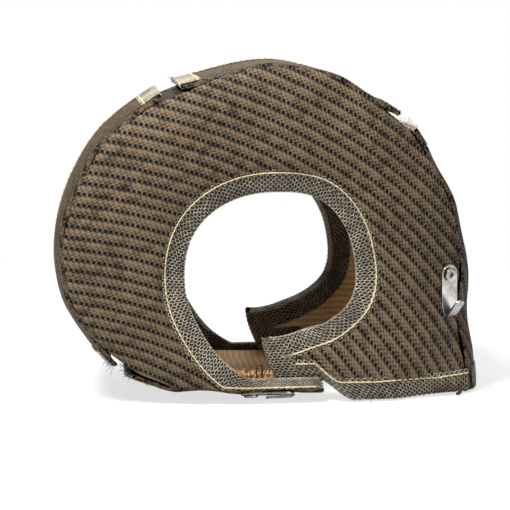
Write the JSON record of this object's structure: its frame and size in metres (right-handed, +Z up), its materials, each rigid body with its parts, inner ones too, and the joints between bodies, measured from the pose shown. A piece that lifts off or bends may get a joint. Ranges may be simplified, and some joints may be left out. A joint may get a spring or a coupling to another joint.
{
  "type": "turbo heat blanket",
  "caption": "Padded horseshoe channel of bronze twill cloth that wraps round a turbocharger's turbine housing, with a round hole in each side, mesh tape over its edges and lacing hooks.",
  "frame": {"origin": "on the bench, under the middle of the blanket's overall box", "axes": "+X to the right seen from the front panel, along the width; +Y from the front panel to the rear panel; +Z up, the open seam of the blanket underneath"},
  "size_m": [0.2204, 0.0972, 0.1696],
  "materials": {
    "twill_cloth": "coarse 2/2 twill of mineral fibre tows, faint sheen",
    "flap_cloth": "coarse 2/2 twill of mineral fibre tows, faint sheen",
    "insulation": "matt needled fibre blanket",
    "lining_cloth": "loose woven silica cloth, dull",
    "mesh_tape": "knitted stainless wire tape, dull metal sheen",
    "hook_steel": "bright pressed stainless sheet",
    "dark_wire": "dull dark wire"
  },
  "bodies": {
    "root": {"front_cover": "twill_cloth", "rear_cover": "twill_cloth", "bottom_flap": "flap_cloth", "left_flap": "flap_cloth", "top_flap": "flap_cloth", "right_flap": "flap_cloth", "front_insulation": "insulation", "rear_insulation": "insulation", "rim_insulation": "insulation", "front_lining": "lining_cloth", "rear_lining": "lining_cloth", "rim_lining": "lining_cloth", "front_hole_binding": "mesh_tape", "rear_hole_binding": "mesh_tape", "front_tip_binding": "mesh_tape", "rear_tip_binding": "mesh_tape", "front_hem_binding": "mesh_tape", "rear_hem_binding": "mesh_tape", "side_hem_binding": "mesh_tape", "left_leg_end_binding": "mesh_tape", "bottom_flap_edge_binding": "mesh_tape", "bottom_flap_left_end_binding": "mesh_tape", "left_flap_edge_binding": "mesh_tape", "left_flap_lower_end_binding": "mesh_tape", "left_flap_upper_end_binding": "mesh_tape", "top_flap_edge_binding": "mesh_tape", "top_flap_left_end_binding": "mesh_tape", "top_flap_right_end_binding": "mesh_tape", "right_flap_edge_binding": "mesh_tape", "right_flap_upper_end_binding": "mesh_tape", "right_hook": "hook_steel", "bottom_hook": "hook_steel", "right_rivet": "hook_steel", "bottom_rivet": "hook_steel", "right_washer": "hook_steel", "bottom_washer": "hook_steel", "hook_fixing_wire": "dark_wire"}
  },
  "joints": []
}
